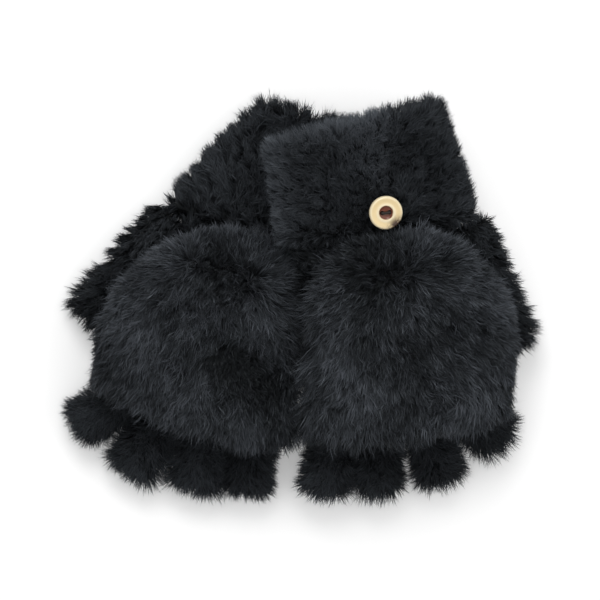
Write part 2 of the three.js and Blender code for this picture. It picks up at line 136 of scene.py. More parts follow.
class ColourSettings(bpy.types.PropertyGroup):
    """Colours of the pair."""

    root: FloatVectorProperty(
        name="Pile Root", description="Pile at the cloth", subtype="COLOR",
        default=(0.0035, 0.0038, 0.0046),
    )
    tip: FloatVectorProperty(
        name="Pile Tip", description="Pile at its tips", subtype="COLOR", default=(0.022, 0.0245, 0.028)
    )
    hood_tip: FloatVectorProperty(
        name="Hood Pile Tip", description="Tips of the hoods' underfur", subtype="COLOR",
        default=(0.0225, 0.025, 0.0285),
    )
    guard_tip: FloatVectorProperty(
        name="Guard Hair Tip", description="Tips of the hoods' guard hairs", subtype="COLOR",
        default=(0.039, 0.043, 0.05),
    )
    fleece: FloatVectorProperty(
        name="Fleece", description="Lining", subtype="COLOR", default=(0.008, 0.008, 0.009)
    )
    # pale inner ring, and the painted highlight on the outer rim
    horn: FloatVectorProperty(
        name="Horn Rim", description="Pale rims of the button", subtype="COLOR",
        default=(0.9, 0.77, 0.52),
    )
    horn_gold: FloatVectorProperty(
        name="Horn Dish", description="Face of the button between its rims", subtype="COLOR",
        default=(0.84, 0.66, 0.36),
    )
    horn_well: FloatVectorProperty(
        name="Horn Well", description="Middle of the button", subtype="COLOR",
        default=(0.17, 0.036, 0.012),
    )
    horn_dark: FloatVectorProperty(
        name="Horn Stain", description="Darkest brown in the button", subtype="COLOR",
        default=(0.045, 0.018, 0.008),
    )
    floor: FloatVectorProperty(
        name="Floor", description="Surface that the pair lies on", subtype="COLOR",
        default=(0.86, 0.86, 0.86),
    )


class StageSettings(bpy.types.PropertyGroup):
    """Camera and lamps."""

    camera_height: FloatProperty(
        name="Camera Height", description="Above the floor", default=1.28, unit="LENGTH"
    )
    view_width: FloatProperty(
        name="View Width", description="Width that the camera takes in", default=0.3, unit="LENGTH"
    )
    aim_x: FloatProperty(
        name="Aim X", description="Where the camera looks", default=0.0006, unit="LENGTH"
    )
    aim_y: FloatProperty(
        name="Aim Y", description="Where the camera looks", default=0.0006, unit="LENGTH"
    )
    floor_lift: FloatProperty(
        name="Floor Lift", description="White that the camera sees over the floor's own light",
        default=0.26, min=0.0,
    )
    sky: FloatProperty(name="Sky", description="Strength of the even light", default=0.65, min=0.0)
    lamp: FloatProperty(name="Lamp", description="Soft key lamp", default=7.8, subtype="POWER")


# ---- Where each mitten lies ----


class Lay:
    """A mitten's own axes at rest: across to its thumb, ahead to its fingertips, up from its back."""

    def __init__(self, side):
        joint = next(j for j in frame["joints"] if j["name"] == f"{side}_hood_flip")
        axis = Vector(joint["axis"]).normalized()
        disc = points_of(frame["nodes"][f"{side}_button"])
        spread = np.linalg.eigh(np.cov((disc - disc.mean(0)).T))[1]
        up = Vector(spread[:, 0])
        self.up = up if up.z > 0 else -up
        self.hinge = Vector(joint["pos_m"])
        self.across = -axis if side == "left" else axis
        turned = self.up.cross(self.across)
        self.ahead = turned if side == "left" else -turned
        self.axes = np.array([self.across, self.ahead, self.up])

    def local(self, points):
        """Points of the frame as distances across, ahead and up from the hinge."""
        return (points - np.array(self.hinge)) @ self.axes.T

    def world(self, directions):
        """Directions given across, ahead and up, as directions of the frame."""
        return directions @ self.axes

    def point(self, across, ahead, up):
        """A place given by its distances from the hinge, as a point of the frame."""
        return Vector(self.world(np.array([[across, ahead, up]]))[0]) + self.hinge


def vectors_of(mesh, field):
    """A vector field of a mesh's corners, one row for each."""
    found = np.empty(len(mesh.vertices) * 3, np.float32)
    mesh.vertices.foreach_get(field, found)
    return found.reshape(-1, 3).astype(float)


def points_of(source):
    """The corners of a mesh or of an object."""
    return vectors_of(source if isinstance(source, bpy.types.Mesh) else source.data, "co")


def normals_of(mesh):
    """The way the surface faces at each corner."""
    return vectors_of(mesh, "normal")


# ---- Meshes ----


def placed(name, mesh, material=None):
    """A new object at the origin that holds the mesh, with its material if it has one yet."""
    piece = bpy.data.objects.new(name, mesh)
    bpy.context.scene.collection.objects.link(piece)
    if material:
        mesh.materials.append(material)
    return piece


def applied(piece):
    """Turns a piece's modifiers into a plain mesh."""
    depsgraph = bpy.context.evaluated_depsgraph_get()
    mesh = bpy.data.meshes.new_from_object(piece.evaluated_get(depsgraph), depsgraph=depsgraph)
    piece.modifiers.clear()
    piece.data = mesh


def welded(nodes):
    """The meshes of some frame nodes as one mesh with shared corners."""
    joined = bmesh.new()
    for node in nodes:
        joined.from_mesh(frame["nodes"][node].data)
    bmesh.ops.remove_doubles(joined, verts=joined.verts, dist=1e-6)
    mesh = bpy.data.meshes.new(nodes[0] + "_cloth")
    joined.to_mesh(mesh)
    joined.free()
    return mesh


def cloth(name, node, kind):
    """A piece's cloth: an even, softened mesh of its solid, thinned to a share of its faces."""
    voxel, share = WEAVES[kind]
    piece = placed(name, welded([node]))
    remesh = piece.modifiers.new("even", "REMESH")
    remesh.mode = "VOXEL"
    remesh.voxel_size = voxel
    smooth = piece.modifiers.new("soften", "SMOOTH")
    smooth.factor = 0.5
    smooth.iterations = 2
    thin = piece.modifiers.new("thin", "DECIMATE")
    thin.ratio = share
    applied(piece)
    piece.data.shade_smooth()
    return piece


def outer_share(mesh, family):
    """For each point of a panel, 1 where it faces out of its mitten and 0 where it faces the hollow."""
    tree = BVHTree.FromPolygons(
        [tuple(p) for p in points_of(family)], [tuple(f.vertices) for f in family.polygons]
    )
    reach = 0.15
    lift = 0.0012
    out = np.ones(len(mesh.vertices))
    for k, (p, n) in enumerate(zip(points_of(mesh), normals_of(mesh))):
        if tree.ray_cast(Vector(p + n * lift), Vector(n), reach)[0] is not None:
            out[k] = 0.0
    return out


def store(mesh, name, values):
    """Numbers or vectors on the points of a mesh."""
    kind, field = ("FLOAT", "value") if values.ndim == 1 else ("FLOAT_VECTOR", "vector")
    attribute = mesh.attributes.new(name, kind, "POINT")
    attribute.data.foreach_set(field, values.astype(np.float32).ravel())


def stored(mesh, name):
    """Numbers that were stored on the points of a mesh."""
    found = np.empty(len(mesh.vertices), np.float32)
    mesh.attributes[name].data.foreach_get("value", found)
    return found


# ---- Node trees ----


class Wiring:
    """A node tree with short ways to add nodes and wire them."""

    def __init__(self, tree):
        self.tree = tree

    def feed(self, socket, value):
        """Links another node's output to an input, or sets the input to a value."""
        if isinstance(value, bpy.types.NodeSocket):
            self.tree.links.new(value, socket)
        else:
            socket.default_value = value

    def node(self, kind, feeds=(), **settings):
        """A new node with its settings, and an output or a value for some of its inputs."""
        made = self.tree.nodes.new(kind)
        for key, value in settings.items():
            setattr(made, key, value)
        for key, value in dict(feeds).items():
            self.feed(made.inputs[key], value)
        return made

    def out(self, kind, feeds=(), **settings):
        """The first output of a new node."""
        return self.node(kind, feeds, **settings).outputs[0]

    def math(self, operation, *values):
        return self.out("ShaderNodeMath", enumerate(values), operation=operation)

    def vector(self, operation, *values):
        return self.out("ShaderNodeVectorMath", enumerate(values), operation=operation)

    def scaled(self, vector, by):
        return self.out("ShaderNodeVectorMath", {0: vector, "Scale": by}, operation="SCALE")

    def parts(self, vector):
        """A vector's X, Y and Z."""
        return self.node("ShaderNodeSeparateXYZ", {0: vector}).outputs

    def combined(self, x, y, z=0.0):
        return self.out("ShaderNodeCombineXYZ", {"X": x, "Y": y, "Z": z})


class Tree(Wiring):
    """A geometry node tree with one geometry in and one out."""

    def __init__(self, name):
        super().__init__(bpy.data.node_groups.new(name, "GeometryNodeTree"))
        self.socket("Geometry", "NodeSocketGeometry")
        self.socket("Geometry", "NodeSocketGeometry", "OUTPUT")
        self.given = self.tree.nodes.new("NodeGroupInput")
        self.result = self.tree.nodes.new("NodeGroupOutput")
        self.identifiers = {}

    def socket(self, name, kind, way="INPUT"):
        """A socket of the tree itself."""
        return self.tree.interface.new_socket(name=name, in_out=way, socket_type=kind)

    def value(self, name, default, kind="NodeSocketFloat"):
        """A named input of the tree."""
        made = self.socket(name, kind)
        if default is not None:
            made.default_value = default
        self.identifiers[name] = made.identifier
        return self.given.outputs[name]

    def towards(self, one, other):
        """The direction of the sum of two vectors."""
        return self.vector("NORMALIZE", self.vector("ADD", one, other))

    def moved(self, geometry, **feeds):
        """The geometry with its points at a new Position, or moved by an Offset."""
        return self.out("GeometryNodeSetPosition", {"Geometry": geometry, **feeds})

    def gathered(self, kind, geometries):
        """The output of a node that takes any number of geometries."""
        made = self.node(kind)
        for geometry in geometries:
            self.feed(made.inputs[0], geometry)
        return made.outputs[0]

    def read(self, name, kind="FLOAT"):
        """A number or vector that the cloth or the strands hold."""
        made = self.node("GeometryNodeInputNamedAttribute", {"Name": name}, data_type=kind)
        return made.outputs["Attribute"]

    def random(self, low, high, seed):
        """A number drawn for each point."""
        made = self.node("FunctionNodeRandomValue", {"Seed": seed, 2: low, 3: high}, data_type="FLOAT")
        return made.outputs[1]

    def jitter(self, half, seed):
        """A vector drawn for each point, up to half each way along each axis."""
        feeds = {"Seed": seed, 0: (-half,) * 3, 1: (half,) * 3}
        return self.out("FunctionNodeRandomValue", feeds, data_type="FLOAT_VECTOR")

    def store(self, geometry, name, value, kind="FLOAT", domain="POINT"):
        """The geometry with a value stored on it."""
        feeds = {"Geometry": geometry, "Name": name, "Value": value}
        return self.out("GeometryNodeStoreNamedAttribute", feeds, data_type=kind, domain=domain)


STRAND_TAPER = 0.6  # under 1, a strand keeps its width longer and ends more bluntly
STRAND_BENDS = (-0.12, -0.28, -0.45)  # how far over the tip of each shape of strand lies

# What a coat's draws add to its seed, so that no two of them are alike.
DRAWS = {
    "fray": 3.0, "twist": 5.0, "ruffle": 7.0, "reach": 9.0, "shape": 11.0, "shade": 13.0, "tufts": 50.0,
}

# How fine the patches are in which a coat changes, and how much detail they have. The shade patches
# are painted light and shade, for how light catches the pile's lie and the shadows between its tufts.
PATCHES = {"shade": (42.0, 1.0), "whorls": (60.0, 2.0), "waves": (190.0, 1.0), "length": (210.0, 2.0)}

TUFT_HEIGHT = 0.9  # where a tuft's strands meet, as a share of their length
RUFFLE = 0.5  # how far tufts lean apart
FRAY = 0.22  # how far the strands of a tuft do
TWIST = 0.9  # how far strands turn about themselves, in radians
REACH = (0.62, 1.08)  # shortest and longest strand, as a share of the length
OWN_SHADE = 0.42  # how far one strand's shade is from its neighbours'
SHADES = (0.01, 0.98)  # darkest and palest place across the map
MAP_WIDTH = 0.006  # of a strand on the map
SHADE_SCALE = (0.06, 0.98, 0.22, 5.4)  # from where to where on the map, and what it scales colour by


def strand(tree, bend, rows):
    """One strand: a ribbon a metre long and wide that narrows to its tip and bends over."""
    ribbon = tree.out(
        "GeometryNodeMeshGrid", {"Size X": 1.0, "Size Y": 1.0, "Vertices X": 2, "Vertices Y": rows}
    )
    parts = tree.parts(tree.out("GeometryNodeInputPosition"))
    along = tree.math("ADD", parts["Y"], 0.5)
    narrowing = tree.math("POWER", tree.math("SUBTRACT", 1.0, along), STRAND_TAPER)
    side = tree.math("MULTIPLY", parts["X"], narrowing)
    over = tree.math("MULTIPLY", tree.math("POWER", along, 2.0), bend)
    ribbon = tree.store(ribbon, "along", along)
    ribbon = tree.store(ribbon, "beside", parts["X"])
    ribbon = tree.moved(ribbon, Position=tree.combined(side, over, along))
    return tree.out("GeometryNodeMergeByDistance", {"Geometry": ribbon, "Distance": 1e-4})


def coat_tree(rows):
    """The tree that covers a cloth with strands. The cloth holds up, comb, grown, outer and pale."""
    t = Tree("pile coat")
    density = t.value("Density", 3e6)
    spacing = t.value("Tuft Spacing", 0.003)
    length = t.value("Length", 0.006)
    width = t.value("Width", 0.0005)
    rise = t.value("Rise", 0.9)
    clump = t.value("Tuft Share", 0.5)
    wave = t.value("Wave", 0.001)
    floor = t.value("Floor", LOWEST_POINT)
    patches = t.value("Uneven Length", 0.3)
    drift_share = t.value("Whorls", 0.8)
    keep = t.value("Keep Cloth", True, "NodeSocketBool")
    seed = t.value("Seed", 1, "NodeSocketInt")
    material = t.value("Material", None, "NodeSocketMaterial")
    base = t.given.outputs["Geometry"]
    place = t.out("GeometryNodeInputPosition")
    up, comb = t.read("up", "FLOAT_VECTOR"), t.read("comb", "FLOAT_VECTOR")

    def draw(name):
        return t.math("ADD", seed, DRAWS[name])

    def patchy(name):
        scale, detail = PATCHES[name]
        return t.node("ShaderNodeTexNoise", {"Vector": place, "Scale": scale, "Detail": detail}).outputs

    def either_way(colour):
        return t.vector("SUBTRACT", colour, (0.5, 0.5, 0.5))

    # Where strands grow, and where their tufts meet.
    places = t.out("GeometryNodeDistributePointsOnFaces", {
        "Mesh": base, "Density": t.math("MULTIPLY", density, t.read("outer")), "Seed": seed,
    })
    tufts = t.out("GeometryNodeDistributePointsOnFaces", {
        "Mesh": base, "Seed": draw("tufts"),
        "Density": t.math("DIVIDE", 1.0, t.math("MULTIPLY", spacing, spacing)),
    })

    # How long the pile is at each place, and which way it lies.
    uneven = patchy("length")[0]
    patch = t.math("MULTIPLY_ADD", t.math("SUBTRACT", uneven, 0.5), patches, 1.0)
    grown = t.math("MULTIPLY", t.math("MULTIPLY", length, t.read("grown")), patch)
    drift = t.scaled(either_way(patchy("whorls")["Color"]), drift_share)
    flow = t.towards(t.vector("ADD", t.scaled(up, rise), comb), drift)

    # Each strand aims partly at its tuft's tip.
    tuft_flow = t.towards(flow, t.jitter(RUFFLE, draw("ruffle")))
    tuft_tip = t.vector("ADD", place, t.scaled(tuft_flow, t.math("MULTIPLY", grown, TUFT_HEIGHT)))
    nearest = t.out("GeometryNodeSampleNearest", {"Geometry": tufts}, domain="POINT")
    meeting = t.out("GeometryNodeSampleIndex", {
        "Geometry": tufts, "Value": tuft_tip, "Index": nearest,
    }, data_type="FLOAT_VECTOR", domain="POINT")
    to_tuft = t.vector("NORMALIZE", t.vector("SUBTRACT", meeting, place))
    mixed = t.node("ShaderNodeMix", {"Factor": clump, 4: flow, 5: to_tuft}, data_type="VECTOR")
    aim = t.towards(mixed.outputs[1], t.jitter(FRAY, draw("fray")))

    # The strands themselves, turned to their aim and to the cloth.
    turn = t.out("FunctionNodeAlignRotationToVector", {"Vector": aim}, axis="Z")
    turn = t.out("FunctionNodeAlignRotationToVector", {"Rotation": turn, "Vector": up},
                 axis="Y", pivot_axis="Z")
    twist = t.out("FunctionNodeAxisAngleToRotation", {
        "Axis": (0.0, 0.0, 1.0), "Angle": t.random(-TWIST, TWIST, draw("twist")),
    })
    turn = t.out("FunctionNodeRotateRotation", {"Rotation": turn, "Rotate By": twist},
                 rotation_space="LOCAL")
    reach = t.math("MULTIPLY", grown, t.random(*REACH, draw("reach")))
    reach = t.math("MINIMUM", reach, LONGEST_STRAND)
    shapes = [strand(t, bend, rows) for bend in STRAND_BENDS]
    strands = t.out("GeometryNodeInstanceOnPoints", {
        "Points": places, "Instance": t.gathered("GeometryNodeGeometryToInstance", shapes),
        "Pick Instance": True,
        "Instance Index": t.random(0.0, len(STRAND_BENDS) - 0.01, draw("shape")),
        "Rotation": turn, "Scale": t.combined(width, reach, reach),
    })

    # Each one's shade: its own random tone, painted light and shade in patches where it grows (paler
    # where the pile is longer, darker where it is shorter), and how pale the cloth says it is.
    own = t.random(-OWN_SHADE, OWN_SHADE, draw("shade"))
    # painted light and shade: patches of paler and darker pile, darker where the pile is shorter
    lie = t.math("MULTIPLY_ADD", patchy("shade")[0], 0.9, t.math("MULTIPLY", uneven, 0.6))
    shade = t.math("ADD", t.math("ADD", own, t.math("SUBTRACT", lie, 0.25)), t.read("pale"))
    darkest, palest = SHADES
    shade = t.math("MINIMUM", t.math("MAXIMUM", t.math("MULTIPLY", shade, 0.45), darkest), palest)
    strands = t.store(strands, "shade", shade, domain="INSTANCE")
    strands = t.out("GeometryNodeRealizeInstances", {"Geometry": strands})

    # Waves that grow to the tips, the cloth under the strands, and the floor.
    swing = t.math("MULTIPLY", t.math("MULTIPLY", t.read("along"), wave), 2.0)
    strands = t.moved(strands, Offset=t.scaled(either_way(patchy("waves")["Color"]), swing))
    below = t.out("GeometryNodeSwitch", {"Switch": keep, "True": base}, input_type="GEOMETRY")
    coat = t.gathered("GeometryNodeJoinGeometry", (strands, below))
    parts = t.parts(place)
    above_floor = t.math("MAXIMUM", parts["Z"], floor)
    coat = t.moved(coat, Position=t.combined(parts["X"], parts["Y"], above_floor))

    across = t.math("MULTIPLY_ADD", t.read("beside"), MAP_WIDTH, t.read("shade"))
    upward = t.math("MULTIPLY_ADD", t.read("along"), 0.96, 0.02)
    coat = t.store(coat, UV_MAP, t.combined(across, upward), "FLOAT2", "CORNER")
    coat = t.out("GeometryNodeSetMaterial", {"Geometry": coat, "Material": material})
    t.feed(t.result.inputs[0], coat)
    return t


def shared_tree(rows, made={}):
    """The one tree for all coats whose strands have so many rows of corners."""
    if rows not in made:
        made[rows] = coat_tree(rows)
    return made[rows]


def coated(piece, pile, material, seed, density=1.0, keep=True):
    """Covers a cloth with its pile, as one plain mesh, without the cloth if it isn't kept."""
    group = shared_tree(pile.segments + 1)
    grow = piece.modifiers.new("pile", "NODES")
    grow.node_group = group.tree
    inputs = {
        "Density": pile.density * 1e6 * density, "Tuft Spacing": pile.clump_spacing,
        "Length": pile.length, "Width": pile.width, "Rise": pile.rise, "Tuft Share": pile.clump,
        "Wave": pile.wave, "Floor": LOWEST_POINT, "Seed": seed, "Material": material,
        "Uneven Length": pile.uneven, "Whorls": pile.whorls, "Keep Cloth": keep,
    }
    for name, value in inputs.items():
        grow[group.identifiers[name]] = value
    applied(piece)
    for attribute in ("up", "comb", "grown", "outer", "pale", "along", "beside", "shade"):
        found = piece.data.attributes.get(attribute)
        if found is not None:
            piece.data.attributes.remove(found)


# ---- Materials ----


materials = {}


class Finish(Wiring):
    """A material and the shader that its looks are set on."""

    def __init__(self, name, looks):
        self.material = bpy.data.materials.new(name)
        self.material.use_nodes = True
        super().__init__(self.material.node_tree)
        self.shader = self.tree.nodes["Principled BSDF"]
        self.look(looks)

    def look(self, looks):
        """Sets some of the shader's inputs."""
        for name, value in looks.items():
            self.feed(self.shader.inputs[name], value)

    def pattern(self, kind, feeds, **settings):
        """A pattern that stays where it is on the piece, as a number."""
        place = self.node("ShaderNodeTexCoord").outputs["Object"]
        return self.node(kind, {"Vector": place, **feeds}, **settings).outputs["Fac"]

    def ramp(self, by, *stops):
        """A colour that runs from stop to stop as a number rises."""
        made = self.node("ShaderNodeValToRGB", {0: by})
        elements = made.color_ramp.elements
        while len(elements) < len(stops):
            elements.new(0.5)
        for element, (where, colour) in zip(elements, stops):
            element.position = where
            element.color = (*colour, 1.0)
        return made.outputs["Color"]

    def range(self, value, *limits):
        """A number carried from one range to another, which runs from 0 to 1 if it isn't given."""
        names = ("From Min", "From Max", "To Min", "To Max")
        return self.out("ShaderNodeMapRange", {"Value": value, **dict(zip(names, limits))})

    def relief(self, height, strength, distance):
        """A surface that is raised where a number is high."""
        feeds = {"Height": height, "Strength": strength, "Distance": distance}
        self.look({"Normal": self.out("ShaderNodeBump", feeds)})


def pile_material(name, root, tip, roughness, sheen):
    """Pile whose colour runs from root to tip, scaled by each strand's tone and painted light and
    shade.
    """
    finish = Finish(name, {
        "Roughness": roughness, "Specular IOR Level": 0.2, "Specular Tint": (0.84, 0.94, 1.0, 1.0),
        "Sheen Weight": sheen, "Sheen Roughness": 0.45,
    })
    parts = finish.parts(finish.out("ShaderNodeUVMap", uv_map=UV_MAP))
    colour = finish.ramp(parts["Y"], (0.15, root), (0.9, tip))
    # the shade on the map holds each strand's painted light and shade as well as its own tone
    shade = finish.range(parts["X"], *SHADE_SCALE)
    finish.look({"Base Color": finish.scaled(colour, shade)})
    return finish.material


def fleece_material(colour):
    """Brushed lining, mottled by its nap."""
    finish = Finish("fleece", {"Roughness": 0.95, "Sheen Weight": 0.3})
    nap = finish.pattern("ShaderNodeTexNoise", {"Scale": 900.0, "Detail": 3.0})
    dark, pale = ([share * c for c in colour] for share in (0.55, 1.7))
    finish.look({"Base Color": finish.ramp(nap, (0.0, dark), (1.0, pale))})
    finish.relief(nap, 0.6, 0.0006)
    return finish.material


def cord_material(name, looks, scale, dark, pale, **feeds):
    """Cord or thread with a slanting lay, and that lay as a number."""
    finish = Finish(name, looks)
    lay = finish.pattern("ShaderNodeTexWave", {"Scale": scale, **feeds}, bands_direction="DIAGONAL")
    finish.look({"Base Color": finish.ramp(lay, (0.0, dark), (1.0, pale))})
    return finish, lay


def elastic_material():
    """Braided elastic cord."""
    finish, braid = cord_material(
        "elastic", {"Roughness": 0.8, "Specular IOR Level": 0.25}, 480.0, (0.0015, 0.0015, 0.002),
        (0.009, 0.0095, 0.011), Distortion=1.0,
    )
    finish.relief(braid, 0.5, 0.0002)
    return finish.material


def thread_material():
    """Brown sewing thread."""
    return cord_material(
        "thread", {"Roughness": 0.7}, 900.0, (0.005, 0.0025, 0.0015), (0.018, 0.0095, 0.006)
    )[0].material


def horn_material(pale, gold, well, dark):
    """Cream horn resin: pale inner rim, golden dish, brown well, rim stain, painted highlight on the
    outer rim.
    """
    finish = Finish("horn", {"Roughness": 0.3, "Coat Weight": 0.3, "Coat Roughness": 0.12})
    cloud = finish.pattern("ShaderNodeTexNoise", {"Scale": 420.0, "Detail": 4.0, "Distortion": 0.6})
    ring, stain = (
        finish.node("ShaderNodeAttribute", attribute_name=name).outputs["Fac"]
        for name in ("ring", "stain")
    )
    # the pale stop at 0.95 is a painted highlight on the rounded outer rim; the one at 0.45 to 0.54 is
    # the resin's own
    colour = finish.ramp(
        finish.math("MULTIPLY_ADD", cloud, 0.05, ring), (0.0, dark), (0.2, well), (0.42, well),
        (0.45, pale), (0.54, pale), (0.66, gold), (0.86, gold), (0.95, pale),
    )
    blot = finish.math("MULTIPLY", stain, finish.range(cloud, 0.25, 0.5))
    mix = finish.node("ShaderNodeMix", {0: blot, 6: colour, 7: (*dark, 1.0)}, data_type="RGBA")
    finish.look({"Base Color": mix.outputs[2]})
    return finish.material


def make_materials(colours):
    """The pair's materials, by name."""
    root = colours.root
    materials.update(
        pile=pile_material("pile", root, colours.tip, 0.6, 0.02),
        hood_pile=pile_material("hood pile", root, colours.hood_tip, 0.55, 0.03),
        guard=pile_material("guard hairs", root, colours.guard_tip, 0.4, 0.03),
        fleece=fleece_material(colours.fleece),
        elastic=elastic_material(),
        horn=horn_material(colours.horn, colours.horn_gold, colours.horn_well, colours.horn_dark),
        thread=thread_material(),
    )


# ---- Pile-covered panels ----


class Sheet:
    """A panel's cloth, with its points in the frame and in its mitten's own axes."""

    def __init__(self, mesh, side):
        self.lay = Lay(side)
        self.co = points_of(mesh)
        self.normal = normals_of(mesh)
        self.place = self.lay.local(self.co)[:, :2]
        self.across, self.ahead = self.place.T
        self.to_thumb = self.normal @ np.array(self.lay.across)

    def along(self, flow):
        """The part that runs along the cloth of some directions across, ahead and up."""
        flow = self.lay.world(flow)
        return flow - self.normal * np.sum(flow * self.normal, axis=1, keepdims=True)


def combed(ahead, outwards, half):
    """Pile that lies ahead, and outwards more the further it is from the middle."""

    def comb(sheet):
        flow = np.zeros_like(sheet.co)
        flow[:, 0] = outwards * np.clip(sheet.across / half, -1, 1)
        flow[:, 1] = ahead
        return sheet.along(flow)

    return comb


def fanned(crown, whorl, ahead, fan=0.85, swirl=1.6):
    """Pile that fans out from a parting and swirls round a whorl: across, ahead and reach."""
    crown, whorl = np.array(crown) / 1000, np.array(whorl) / 1000

    def comb(sheet):
        flow = np.zeros_like(sheet.co)
        away = sheet.place - crown[:2]
        away[:, 0] -= np.clip(away[:, 0], -crown[2], crown[2])
        far = np.linalg.norm(away, axis=1, keepdims=True)
        flow[:, :2] = fan * away / np.maximum(far, 0.004)
        flow[:, 1] += ahead * np.clip(far[:, 0] / 0.06, 0, 1)
        gap = sheet.place - whorl[:2]
        reach = np.linalg.norm(gap, axis=1, keepdims=True)
        turn = np.stack([-gap[:, 1], gap[:, 0]], axis=1) / np.maximum(reach, 0.002)
        flow[:, :2] += swirl * turn * np.exp(-((reach / whorl[2]) ** 2))
        return sheet.along(flow)

    return comb


def level(share):
    """The same paleness all over a panel."""
    return lambda sheet: np.full(len(sheet.co), share)


def on_top(sheet, low):
    """1 where a panel faces up, down to a low share on its thumb side, and more on the other side."""
    side = 1.0 - np.clip(np.abs(sheet.normal @ np.array(sheet.lay.up)), 0, 1)
    return 1.0 + side * np.where(sheet.to_thumb > 0, low - 1.0, 0.8)


def near(co, centre, inner, outer):
    """1 within the inner distance of a point, and 0 past the outer one."""
    gap = np.linalg.norm(co - np.array(centre), axis=1)
    return np.clip((outer - gap) / (outer - inner), 0, 1)


def marked(piece, side, family, comb, grown, pale):
    """Writes what the coat needs on a cloth: which way is up, comb, length, outside and paleness."""
    mesh = piece.data
    sheet = Sheet(mesh, side)
    store(mesh, "up", sheet.normal)
    store(mesh, "comb", comb(sheet))
    store(mesh, "outer", outer_share(mesh, welded([f"{side}_{part}" for part in family])))
    store(mesh, "grown", grown(sheet))
    store(mesh, "pale", pale(sheet))


def swollen(mesh):
    """Presses the cloth's outside in a little where its pile is dark and lifts it where it is pale."""
    most = 0.0015
    lift = np.clip(0.003 * stored(mesh, "pale"), -most, most) * stored(mesh, "outer")
    co = points_of(mesh) + normals_of(mesh) * lift[:, None]
    mesh.vertices.foreach_set("co", co.astype(np.float32).ravel())
    mesh.update()


def panel(side, node, kind, count, pile, comb, grown, family=None, density=1.0, guard=None,
          pale=level(0.0)):
    """A panel of one mitten with the pile on its outside, and longer guard hairs over it if any."""
    slot = "hood_pile" if guard else "pile"
    body = f"{side}_hood" if kind == "hood" else f"{side}_mitten"
    seed = SEEDS[kind] + count
    piece = cloth(f"{side}_{node}_pile", f"{side}_{node}", kind)
    marked(piece, side, family or (node,), comb, grown, pale)
    pieces = [piece]
    if guard:
        swollen(piece.data)
        hairs = placed(f"{side}_{node}_guard_hairs", piece.data.copy())
        coated(hairs, guard, materials["guard"], seed + GUARD_SEED, density, keep=False)
        pieces.append(hairs)
    coated(piece, pile, materials[slot], seed, density)
    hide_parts(f"{side}_{node}")
    for made in pieces:
        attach(made, body)


class MITTENS_OT_hands(bpy.types.Operator):
    """Both panels of each hand, with their shaggy pile"""

    bl_idname = "mittens.hands"
    bl_label = "Hands"

    def execute(self, context):
        family = ("hand_back", "hand_palm")
        for k, side in enumerate(SIDES):
            for n, node in enumerate(family):
                panel(
                    side, node, "hand", 10 * k + n, context.scene.mitten_shaggy,
                    combed(ahead=-0.35, outwards=0.5, half=0.045),
                    lambda sheet: 0.55 + 0.45 * edge_share(sheet),
                    family=family, density=0.75,
                )
        return {"FINISHED"}


def edge_share(sheet):
    """0 in the middle of the hand and 1 at its sides, but less where the hand runs into the cuff."""
    side = np.clip((np.abs(sheet.across) - 0.03) / 0.012, 0, 1)
    return side * np.interp(-sheet.ahead, (0.055, 0.075), (1.0, 0.5))


class MITTENS_OT_cuffs(bpy.types.Operator):
    """The turned-back cuffs: pile longer at the wrist edge, thin round the button, painted highlight on
    the roll
    """

    bl_idname = "mittens.cuffs"
    bl_label = "Cuffs"

    def execute(self, context):
        piles = {"left": context.scene.mitten_curly, "right": context.scene.mitten_short}
        for k, side in enumerate(SIDES):
            middle = points_of(frame["nodes"][f"{side}_button"]).mean(0)
            panel(
                side, "cuff", "cuff", k, piles[side],
                combed(ahead=-0.5, outwards=0.5, half=0.05),
                lambda sheet: (1.0 + 0.32 * at_wrist(sheet, reach=0.012)) * (
                    1.0 - 0.75 * near(sheet.co, middle, inner=0.0075, outer=0.0125)
                ) * (tapered(sheet) if side == "left" else 1.0),
                # the right cuff's pale roll and outer side are a painted highlight, where they catch
                # the light
                pale=rolled_edge_highlight if side == "right" else level(0.25),
            )
        return {"FINISHED"}


def tapered(sheet):
    """Shorter pile on the cuff's thumb side, and a little longer where it meets the hand."""
    side = np.clip((sheet.across - 0.028) / 0.012, 0, 1)
    share = (sheet.ahead - sheet.ahead.min()) / np.ptp(sheet.ahead)
    return 1.0 + side * np.interp(share, (0.0, 0.5, 0.8, 1.0), (-0.45, -0.5, -0.1, 0.1))


def at_wrist(sheet, reach):
    """1 at the cuff's edge round the wrist, falling to 0 within a reach of it."""
    return np.clip(1.0 - (sheet.ahead - sheet.ahead.min()) / reach, 0, 1)


def rolled_edge_highlight(sheet):
    """A level paleness, with a painted highlight along the roll and outer side of the cuff that lies on
    top.
    """
    # painted highlight: paler along the roll and the cuff's outer side, where they face the light
    roll = at_wrist(sheet, reach=0.016) * np.clip((0.012 - sheet.across) / 0.01, 0, 1)
    side = np.clip(1.0 - (sheet.across - sheet.across.min()) / 0.014, 0, 1)
    return 0.3 + 2.6 * np.maximum(roll, 0.6 * side) ** 1.5


SLEEVE_TIP = 0.012  # how far a sleeve's tip reaches back


class MITTENS_OT_thumbs(bpy.types.Operator):
    """The thumb sleeves"""

    bl_idname = "mittens.thumbs"
    bl_label = "Thumbs"

    def execute(self, context):
        for k, side in enumerate(SIDES):
            panel(
                side, "thumb", "thumb", k, context.scene.mitten_shaggy,
                combed(ahead=0.45, outwards=0.2, half=0.06),
                lambda sheet: (
                    1.0 + 0.4 * np.clip(sheet.to_thumb, 0, 1) - 0.5 * at_root(sheet)
                    + 0.25 * at_tip(sheet)
                ),
            )
        return {"FINISHED"}


def at_root(sheet):
    """1 where a thumb sleeve leaves the hand, falling to 0 by the middle of it."""
    ahead = sheet.ahead
    return np.clip(1.0 - 2.0 * (ahead - ahead.min()) / np.ptp(ahead), 0, 1)


